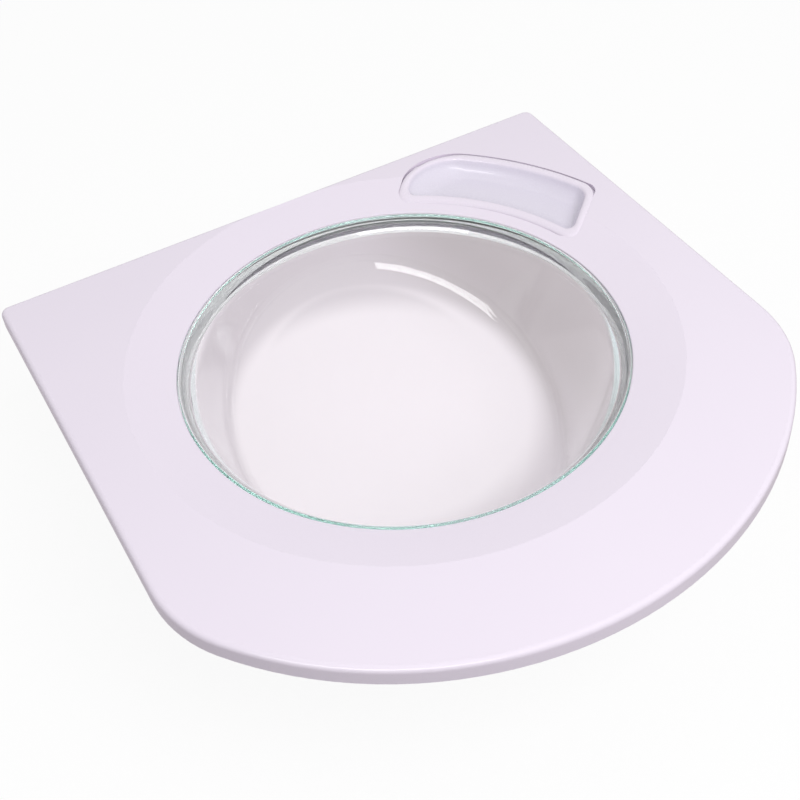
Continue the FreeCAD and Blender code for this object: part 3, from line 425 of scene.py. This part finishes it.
def gripLoop(inset, share):
    fromInner, fromOuter, fromRight, fromLeft = [slope * share for slope in grip["slopes"]]
    inner = grip["inner"] + inset + fromInner
    outer = grip["inner"] + grip["width"] - inset - fromOuter
    rightTurn = math.degrees((inset + fromRight) * 2 / (inner + outer))
    leftTurn = math.degrees((inset + fromLeft) * 2 / (inner + outer))

    def rightEnd(radius):
        return grip["right"] + grip["rightLean"] * (radius - grip["inner"]) / grip["width"] + rightTurn

    def leftEnd(radius):
        return grip["left"] - grip["leftLean"] * (radius - grip["inner"]) / grip["width"] - leftTurn

    tighter = max(inset, 0) / grip["roundEase"]
    small = min(grip["round"] - tighter, (outer - inner) * grip["roundLimit"])
    large = min(grip["sweep"] - tighter, (outer - inner) * grip["sweepLimit"])

    def onEnd(end, radius):
        return polarSpot(radius, end(radius))

    def onArc(radius, start, end, near, far):
        low = start + math.degrees(near / radius)
        high = end - math.degrees(far / radius)
        steps = grip["arcSteps"]
        return [polarSpot(radius, low + (high - low) * step / steps) for step in range(steps + 1)]

    def onLine(end, low, high):
        steps = grip["endSteps"]
        return [onEnd(end, low + (high - low) * step / steps) for step in range(steps + 1)]

    def corner(before, peak, after):
        first = before.lerp(peak, grip["cornerPull"])
        second = after.lerp(peak, grip["cornerPull"])
        curve = []
        for step in range(1, grip["cornerSteps"]):
            t = step / grip["cornerSteps"]
            u = 1 - t
            curve.append(before * u ** 3 + first * 3 * u * u * t + second * 3 * u * t * t + after * t ** 3)
        return curve

    rightLine = onLine(rightEnd, inner + small, outer - small)
    outerArc = onArc(outer, rightEnd(outer), leftEnd(outer), small, large)
    leftLine = onLine(leftEnd, outer - large, inner + small)
    innerArc = onArc(inner, rightEnd(inner), leftEnd(inner), small, small)[::-1]
    loop = rightLine + corner(rightLine[-1], onEnd(rightEnd, outer), outerArc[0])
    loop += outerArc + corner(outerArc[-1], onEnd(leftEnd, outer), leftLine[0])
    loop += leftLine + corner(leftLine[-1], onEnd(leftEnd, inner), innerArc[0])
    return loop + innerArc + corner(innerArc[-1], onEnd(rightEnd, inner), rightLine[0])


def coverLevel(spot):
    return min(grip["face"], grip["lip"] + grip["dishSlope"] * (spot.length - grip["opening"]))


def makeGrip():
    rings = []
    wellShades = []
    for inset, rise in grip["bead"]:
        rings.append([(spot.x, spot.y, coverLevel(spot) + rise) for spot in gripLoop(inset, 0)])
        wellShades.append(0.0)
    edge = gripLoop(grip["bead"][-1][0], 0)
    for inset, share, sink in grip["wallRings"]:
        ring = []
        for spot, top in zip(gripLoop(inset, share), edge):
            ring.append((spot.x, spot.y, coverLevel(top) + (grip["floor"] - coverLevel(top)) * sink))
        rings.append(ring)
        # painted shade: the mask rises with depth, so the well below the bead takes the darker colour
        wellShades.append(min(1.0, sink / grip["wellShadeDepth"]))
    piece = growRings("gripCup", rings, capEnd=True)
    wellShade = piece.data.attributes.new("wellShade", "FLOAT", "POINT")
    for index, entry in enumerate(wellShade.data):
        entry.value = wellShades[index // len(edge)]
    thick = piece.modifiers.new("wall", "SOLIDIFY")
    thick.thickness = grip["wall"] * mm
    thick.offset = -1.0
    bpy.ops.object.modifier_apply(modifier="wall")
    smoothBy(piece, grip["smooth"])
    parts = [piece]
    for degrees, side, reach in grip["lugs"]:
        parts.append(makeLug(degrees, side, reach))
    deselectAll()
    for part in parts:
        part.select_set(True)
    bpy.context.view_layer.objects.active = piece
    bpy.ops.object.join()
    piece.data.materials.clear()
    piece.data.materials.append(cupShadedFinish)
    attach(piece, "door")
    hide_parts("handle_cup")
    return piece


# a tab with round ends under a screw, pulled out on one side to reach the cup
def makeLug(degrees, side, reach):
    deselectAll()
    middle = polarSpot(grip["lugCircle"], degrees)
    bpy.ops.mesh.primitive_cylinder_add(vertices=grip["lugSides"], radius=grip["lugRadius"] * mm,
                                        depth=grip["lugWall"] * mm)
    lug = bpy.context.object
    bpy.ops.object.mode_set(mode="EDIT")
    mesh = bmesh.from_edit_mesh(lug.data)
    for vert in mesh.verts:
        if vert.co.y * side > mm:
            vert.co.y += reach * side * mm
    bmesh.update_edit_mesh(lug.data)
    bpy.ops.mesh.select_all(action="SELECT")
    bpy.ops.mesh.bevel(offset=grip["lugRound"] * mm, segments=grip["lugBevels"], affect="EDGES")
    bpy.ops.object.mode_set(mode="OBJECT")
    turn = Matrix.Rotation(math.radians(degrees), 4, "Z")
    place = Matrix.Translation(Vector((middle.x, middle.y, grip["lugLow"] + grip["lugWall"] / 2)) * mm)
    lug.data.transform(place @ turn)
    return lug


gripCup = makeGrip()
print("finger grip", len(gripCup.data.polygons), "faces")

# pan head screws with a cross recess, heads facing the machine, mm
screw = {"shank": 1.5, "head": 3.6, "cap": 2.2, "length": 11.0, "sides": 36, "dome": 1.25, "domeSteps": 6,
         "tip": 1.2, "tipShare": 0.4, "arm": 2.1, "slot": 0.75, "slotShare": 0.8, "sink": 1.3,
         "nearEnd": 0.9, "spin": 37.0, "smooth": 35}


def makeScrew():
    deselectAll()
    bpy.ops.mesh.primitive_cylinder_add(vertices=screw["sides"], radius=screw["head"] * mm,
                                        depth=screw["cap"] * mm, location=(0, 0, -screw["cap"] / 2 * mm))
    piece = bpy.context.object
    bpy.ops.object.transform_apply(location=True, rotation=True, scale=True)
    bpy.ops.object.mode_set(mode="EDIT")
    mesh = bmesh.from_edit_mesh(piece.data)
    for edge in mesh.edges:
        edge.select = all(vert.co.z < -screw["cap"] * mm * screw["nearEnd"] for vert in edge.verts)
    mesh.select_flush_mode()
    bmesh.update_edit_mesh(piece.data)
    bpy.ops.mesh.bevel(offset=screw["dome"] * mm, segments=screw["domeSteps"], affect="EDGES")
    mesh = bmesh.from_edit_mesh(piece.data)
    for face in mesh.faces:
        face.select = face.normal.z > screw["nearEnd"]
    bmesh.update_edit_mesh(piece.data)
    bpy.ops.mesh.inset(thickness=(screw["head"] - screw["shank"]) * mm)
    for rise in (screw["length"] - screw["tip"], screw["tip"]):
        bpy.ops.mesh.extrude_region_move(TRANSFORM_OT_translate={"value": (0, 0, rise * mm)})
    bpy.ops.transform.resize(value=(screw["tipShare"], screw["tipShare"], 1.0))
    bpy.ops.object.mode_set(mode="OBJECT")
    for across, along in ((screw["arm"], screw["slot"]), (screw["slot"], screw["arm"])):
        deselectAll()
        bpy.ops.mesh.primitive_cube_add(size=1.0, location=(0, 0, -screw["cap"] * mm))
        cutter = bpy.context.object
        cutter.scale = (across * 2 * mm, along * 2 * screw["slotShare"] * mm, screw["sink"] * 2 * mm)
        bpy.ops.object.transform_apply(location=True, rotation=True, scale=True)
        cut = piece.modifiers.new("cross", "BOOLEAN")
        cut.operation = "DIFFERENCE"
        cut.object = cutter
        bpy.context.view_layer.objects.active = piece
        bpy.ops.object.modifier_apply(modifier="cross")
        bpy.data.objects.remove(cutter)
    return piece


def placeScrews(name, node, spots, seat):
    copies = []
    for number, spot in enumerate(spots):
        copy = bpy.data.objects.new(name, screwModel.data.copy())
        bpy.context.scene.collection.objects.link(copy)
        turn = Matrix.Rotation(math.radians(screw["spin"] * number), 4, "Z")
        copy.data.transform(Matrix.Translation(Vector((spot[0], spot[1], seat)) * mm) @ turn)
        copies.append(copy)
    deselectAll()
    for copy in copies:
        copy.select_set(True)
    bpy.context.view_layer.objects.active = copies[0]
    bpy.ops.object.join()
    piece = bpy.context.object
    piece.name = name
    smoothBy(piece, screw["smooth"])
    piece.data.materials.clear()
    piece.data.materials.append(screwFinish)
    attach(piece, "door")
    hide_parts(node)


# where the screws stand, with the level under their heads, mm
ringScrews = {"circle": 177.85, "start": 72.0, "step": 45.0, "count": 7, "seat": 13.0}
hingeScrews = {"column": -177.85, "rows": (-30.0, -10.0, 10.0, 30.0), "seat": 10.0}
carrierScrews = {"column": 198.0, "rows": (20.0, -20.0), "seat": 11.0}

screwModel = makeScrew()
ringAngles = [ringScrews["start"] + ringScrews["step"] * number for number in range(ringScrews["count"])]
ringSpots = [polarSpot(ringScrews["circle"], degrees) for degrees in ringAngles]
hingeSpots = [(hingeScrews["column"], row) for row in hingeScrews["rows"]]
carrierSpots = [(carrierScrews["column"], row) for row in carrierScrews["rows"]]
lugSpots = [polarSpot(grip["lugCircle"], degrees) for degrees, side, reach in grip["lugs"]]
placeScrews("ringScrews", "frame_screws", ringSpots, ringScrews["seat"])
placeScrews("hingeScrews", "leaf_screws", hingeSpots, hingeScrews["seat"])
placeScrews("carrierScrews", "latch_screws", carrierSpots, carrierScrews["seat"])
placeScrews("gripScrews", "handle_screws", lugSpots, grip["lugLow"])
bpy.data.objects.remove(screwModel)
print("screws on the ring, the hinge, the latch carrier and the grip")

# floor under the bowl's lowest point: white to the camera with a faint shadow; for rays that come through
# glass or off a gloss it shows a painted shadow, light under the bowl and greyer round it, and it is dull
# for the light it throws back; metres
stage = {"size": 12.0, "drop": 0.0005, "roughness": 0.9, "cameraShadow": 0.10, "glassShadow": 0.35,
         "seen": (1.0, 1.0, 1.0, 1), "under": (0.96, 0.89, 0.945, 1), "left": (0.745, 0.68, 0.735, 1),
         "right": (0.60, 0.545, 0.57, 1), "bounced": (0.22, 0.205, 0.215, 1), "across": (0.10, 0.20),
         "middle": (0.02, 0.095), "bright": 0.12, "dim": 0.158}
floorLevel = cadBox[0][2] - stage["drop"]
deselectAll()
bpy.ops.mesh.primitive_plane_add(size=stage["size"], location=(0, 0, floorLevel))
floor = bpy.context.object
floor.name = "floor"
bpy.ops.object.transform_apply(location=True, rotation=True, scale=True)
floorFinish, tree, shader = newMaterial("floorWhite")
shader.inputs["Roughness"].default_value = stage["roughness"]
shader.inputs["Specular IOR Level"].default_value = 0.0
glow = addNode(tree, "ShaderNodeEmission")
path = addNode(tree, "ShaderNodeLightPath")
spot = addNode(tree, "ShaderNodeNewGeometry")
# painted light and shadow by place: light under the bowl, darker to the left and the right of it
away = addNode(tree, "ShaderNodeVectorMath", operation="DISTANCE")
away.inputs[1].default_value = (*stage["middle"], floorLevel)
fade = addNode(tree, "ShaderNodeMapRange", interpolation_type="SMOOTHSTEP")
fade.inputs["From Min"].default_value = stage["bright"]
fade.inputs["From Max"].default_value = stage["dim"]
shaded = addNode(tree, "ShaderNodeMix", data_type="RGBA")
shaded.inputs["A"].default_value = stage["under"]
place = addNode(tree, "ShaderNodeSeparateXYZ")
sideways = addNode(tree, "ShaderNodeMapRange", interpolation_type="SMOOTHSTEP")
sideways.inputs["From Min"].default_value = stage["across"][0]
sideways.inputs["From Max"].default_value = stage["across"][1]
around = addNode(tree, "ShaderNodeMix", data_type="RGBA")
around.inputs["A"].default_value = stage["left"]
around.inputs["B"].default_value = stage["right"]
soft = addNode(tree, "ShaderNodeMix", data_type="RGBA")
soft.inputs["B"].default_value = stage["bounced"]
tone = addNode(tree, "ShaderNodeMix", data_type="RGBA")
tone.inputs["B"].default_value = stage["seen"]
# share of glowing plain tone, which carries the painted shadow, over real light and shadow
cameraShare = addNode(tree, "ShaderNodeMath", operation="MULTIPLY")
cameraShare.inputs[1].default_value = 1 - stage["cameraShadow"]
mirrored = addNode(tree, "ShaderNodeMath", operation="MAXIMUM")
glassShare = addNode(tree, "ShaderNodeMath", operation="MULTIPLY")
glassShare.inputs[1].default_value = 1 - stage["glassShadow"]
share = addNode(tree, "ShaderNodeMath", operation="MAXIMUM")
mix = addNode(tree, "ShaderNodeMixShader")
unseen = addNode(tree, "ShaderNodeBsdfTransparent")  # seen from below, the floor is clear
side = addNode(tree, "ShaderNodeMixShader")
link = tree.links.new
link(spot.outputs["Position"], away.inputs[0])
link(away.outputs["Value"], fade.inputs["Value"])
link(fade.outputs["Result"], shaded.inputs["Factor"])
link(spot.outputs["Position"], place.inputs["Vector"])
link(place.outputs["X"], sideways.inputs["Value"])
link(sideways.outputs["Result"], around.inputs["Factor"])
link(around.outputs["Result"], shaded.inputs["B"])
link(path.outputs["Is Diffuse Ray"], soft.inputs["Factor"])
link(shaded.outputs["Result"], soft.inputs["A"])
link(path.outputs["Is Camera Ray"], tone.inputs["Factor"])
link(soft.outputs["Result"], tone.inputs["A"])
link(tone.outputs["Result"], shader.inputs["Base Color"])
link(tone.outputs["Result"], glow.inputs["Color"])
link(path.outputs["Is Camera Ray"], cameraShare.inputs[0])
link(path.outputs["Is Transmission Ray"], mirrored.inputs[0])
link(path.outputs["Is Glossy Ray"], mirrored.inputs[1])
link(mirrored.outputs["Value"], glassShare.inputs[0])
link(cameraShare.outputs["Value"], share.inputs[0])
link(glassShare.outputs["Value"], share.inputs[1])
link(share.outputs["Value"], mix.inputs["Fac"])
link(shader.outputs["BSDF"], mix.inputs[1])
link(glow.outputs["Emission"], mix.inputs[2])
link(spot.outputs["Backfacing"], side.inputs["Fac"])
link(mix.outputs["Shader"], side.inputs[1])
link(unseen.outputs["BSDF"], side.inputs[2])
link(side.outputs["Shader"], tree.nodes["Material Output"].inputs["Surface"])
floor.data.materials.append(floorFinish)
print("floor at", round(floorLevel, 4))

# world and lamps, metres and watts
light = {"world": 0.58, "backdrop": 1.0, "sky": (1, 1, 1, 1), "aim": (0, 0, 0.02),
         "key": 10.0, "keyPlace": (-0.84, -1.12, 0.85), "keySize": (1.60, 0.26),
         "fill": 17.2, "fillPlace": (0.12, -1.12, 1.45), "fillSize": (1.0, 1.0)}
world = bpy.data.worlds.new("studio")
bpy.context.scene.world = world
world.use_nodes = True
skyTree = world.node_tree
sky = skyTree.nodes["Background"]
sky.inputs["Color"].default_value = light["sky"]
skyPath = addNode(skyTree, "ShaderNodeLightPath")
skyLevel = addNode(skyTree, "ShaderNodeMapRange")
skyLevel.inputs["To Min"].default_value = light["world"]
skyLevel.inputs["To Max"].default_value = light["backdrop"]
skySeen = addNode(skyTree, "ShaderNodeMath", operation="MAXIMUM")
skyShown = addNode(skyTree, "ShaderNodeMath", operation="MAXIMUM")
skyTree.links.new(skyPath.outputs["Is Glossy Ray"], skySeen.inputs[0])
skyTree.links.new(skyPath.outputs["Is Transmission Ray"], skySeen.inputs[1])
skyTree.links.new(skyPath.outputs["Is Camera Ray"], skyShown.inputs[0])
skyTree.links.new(skySeen.outputs["Value"], skyShown.inputs[1])
skyTree.links.new(skyShown.outputs["Value"], skyLevel.inputs["Value"])
skyTree.links.new(skyLevel.outputs["Result"], sky.inputs["Strength"])


def addLamp(name, place, size, power):
    deselectAll()
    bpy.ops.object.light_add(type="AREA", location=place)
    lamp = bpy.context.object
    lamp.name = name
    lamp.data.shape = "RECTANGLE"
    lamp.data.size, lamp.data.size_y = size
    lamp.data.energy = power
    lamp.rotation_euler = (Vector(light["aim"]) - Vector(place)).to_track_quat("-Z", "Y").to_euler()
    return lamp


# the key lamp makes the streak in the bowl, and the fill lamp lights the cover
key = addLamp("keyLamp", light["keyPlace"], light["keySize"], light["key"])
key.visible_diffuse = False
fill = addLamp("fillLamp", light["fillPlace"], light["fillSize"], light["fill"])
fill.visible_glossy = False
fill.visible_transmission = False

# camera from the fit to the photograph
view = {"place": (-0.30426, -0.61097, 0.67280), "right": (0.869518, -0.490472, -0.058107),
        "down": (-0.385482, -0.600379, -0.700677), "forward": (0.308776, 0.63165, -0.711109),
        "lens": 58.964, "sensor": 36.0, "bounces": 32}
cameraData = bpy.data.cameras.new("photoCamera")
cameraData.lens = view["lens"]
cameraData.sensor_width = view["sensor"]
cameraData.sensor_fit = "HORIZONTAL"
camera = bpy.data.objects.new("photoCamera", cameraData)
bpy.context.scene.collection.objects.link(camera)
axes = Matrix((Vector(view["right"]), -Vector(view["down"]), -Vector(view["forward"])))
camera.matrix_world = Matrix.Translation(Vector(view["place"])) @ axes.transposed().to_4x4()
bpy.context.scene.camera = camera
bpy.context.scene.view_settings.view_transform = "Standard"
bpy.context.scene.cycles.max_bounces = view["bounces"]
bpy.context.scene.cycles.glossy_bounces = view["bounces"]
bpy.context.scene.cycles.transmission_bounces = view["bounces"]
print("camera and light set")
